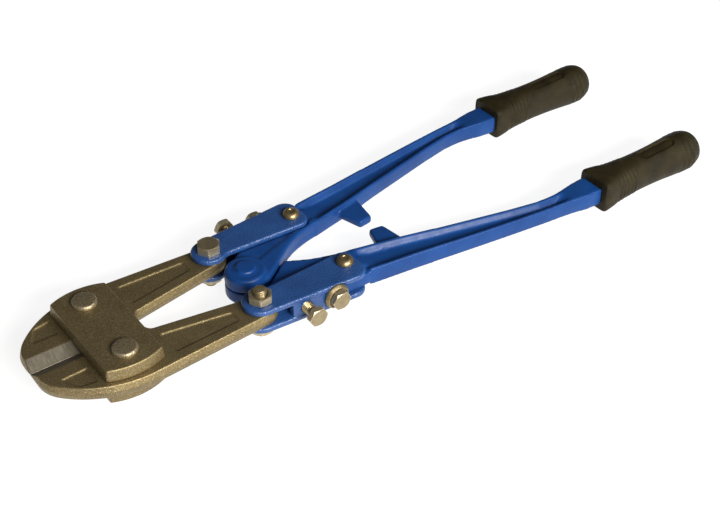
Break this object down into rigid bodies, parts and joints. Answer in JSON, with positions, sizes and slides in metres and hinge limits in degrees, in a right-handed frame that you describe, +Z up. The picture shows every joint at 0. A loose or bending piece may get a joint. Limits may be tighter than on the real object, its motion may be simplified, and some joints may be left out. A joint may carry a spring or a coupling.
{
  "type": "bolt cutters",
  "caption": "Long-handled bolt cutters with arm-adjusted forged jaws, cover plates, U straps and moulded grips, lying flat and closed.",
  "frame": {"origin": "on the surface that the tool lies on, under the middle of its bounding box", "axes": "+X along the tool from the jaws to the grips, +Y towards the left half, +Z up through the thickness"},
  "size_m": [0.46, 0.1326, 0.0336],
  "materials": {
    "jaw_steel": "satin",
    "dark_rivet_steel": "satin",
    "plated_steel": "satin",
    "blue_paint": "gloss",
    "grip_rubber": "matte"
  },
  "bodies": {
    "head": {"jaw_plate_top": "jaw_steel", "jaw_plate_bottom": "jaw_steel", "jaw_rivet_left": "dark_rivet_steel", "jaw_rivet_right": "dark_rivet_steel"},
    "jaw_left": {"jaw_left": "jaw_steel"},
    "link_left": {"strap_left": "blue_paint", "tail_bolt_left": "plated_steel", "tail_nut_left": "plated_steel", "rear_rivet_left": "plated_steel", "lock_washer_left": "plated_steel"},
    "lock_left": {"lock_bolt_left": "plated_steel"},
    "screw_left": {"adjusting_screw_left": "plated_steel"},
    "arm_left": {"handle_left": "blue_paint", "grip_left": "grip_rubber", "centre_rivet": "blue_paint"},
    "jaw_right": {"jaw_right": "jaw_steel"},
    "link_right": {"strap_right": "blue_paint", "tail_bolt_right": "plated_steel", "tail_nut_right": "plated_steel", "rear_rivet_right": "plated_steel", "lock_washer_right": "plated_steel"},
    "lock_right": {"lock_bolt_right": "plated_steel"},
    "screw_right": {"adjusting_screw_right": "plated_steel"},
    "arm_right": {"handle_right": "blue_paint", "grip_right": "grip_rubber"}
  },
  "joints": [
    {"name": "jaw_left_pivot", "type": "hinge", "parent": "head", "child": "jaw_left", "pos_m": [-0.184, 0.0237, 0.0168], "axis": [0, 0, 1], "range_deg": [-7.95, 0]},
    {"name": "tail_left_pivot", "type": "hinge", "parent": "jaw_left", "child": "link_left", "pos_m": [-0.1004, 0.0282, 0.0168], "axis": [0, 0, 1], "range_deg": [0, 47.95]},
    {"name": "adjust_left", "type": "hinge", "parent": "link_left", "child": "arm_left", "pos_m": [-0.0414, 0.0284, 0.0168], "axis": [0, 0, 1], "range_deg": [-0.75, 0.75]},
    {"name": "screw_left_advance", "type": "slide", "parent": "link_left", "child": "screw_left", "axis": [0, 1, 0], "range_m": [-0.00047, 0.00047]},
    {"name": "lock_left_release", "type": "slide", "parent": "link_left", "child": "lock_left", "axis": [0, 1, 0], "range_m": [0, 0.003]},
    {"name": "jaw_right_pivot", "type": "hinge", "parent": "head", "child": "jaw_right", "pos_m": [-0.184, -0.0237, 0.0168], "axis": [0, 0, 1], "range_deg": [0, 7.95]},
    {"name": "tail_right_pivot", "type": "hinge", "parent": "jaw_right", "child": "link_right", "pos_m": [-0.1004, -0.0282, 0.0168], "axis": [0, 0, 1], "range_deg": [-47.95, 0]},
    {"name": "adjust_right", "type": "hinge", "parent": "link_right", "child": "arm_right", "pos_m": [-0.0414, -0.0284, 0.0168], "axis": [0, 0, 1], "range_deg": [-0.75, 0.75]},
    {"name": "screw_right_advance", "type": "slide", "parent": "link_right", "child": "screw_right", "axis": [0, -1, 0], "range_m": [-0.00047, 0.00047]},
    {"name": "lock_right_release", "type": "slide", "parent": "link_right", "child": "lock_right", "axis": [0, -1, 0], "range_m": [0, 0.003]}
  ],
  "couplings": [
    {"joint": "tail_right_pivot", "follows": "tail_left_pivot", "ratio": -1},
    {"joint": "jaw_left_pivot", "follows": "tail_left_pivot", "ratio": -0.16586},
    {"joint": "jaw_right_pivot", "follows": "tail_left_pivot", "ratio": 0.16586},
    {"joint": "screw_left_advance", "follows": "adjust_left", "m_per_rad": -0.0351},
    {"joint": "screw_right_advance", "follows": "adjust_right", "m_per_rad": 0.0351}
  ]
}
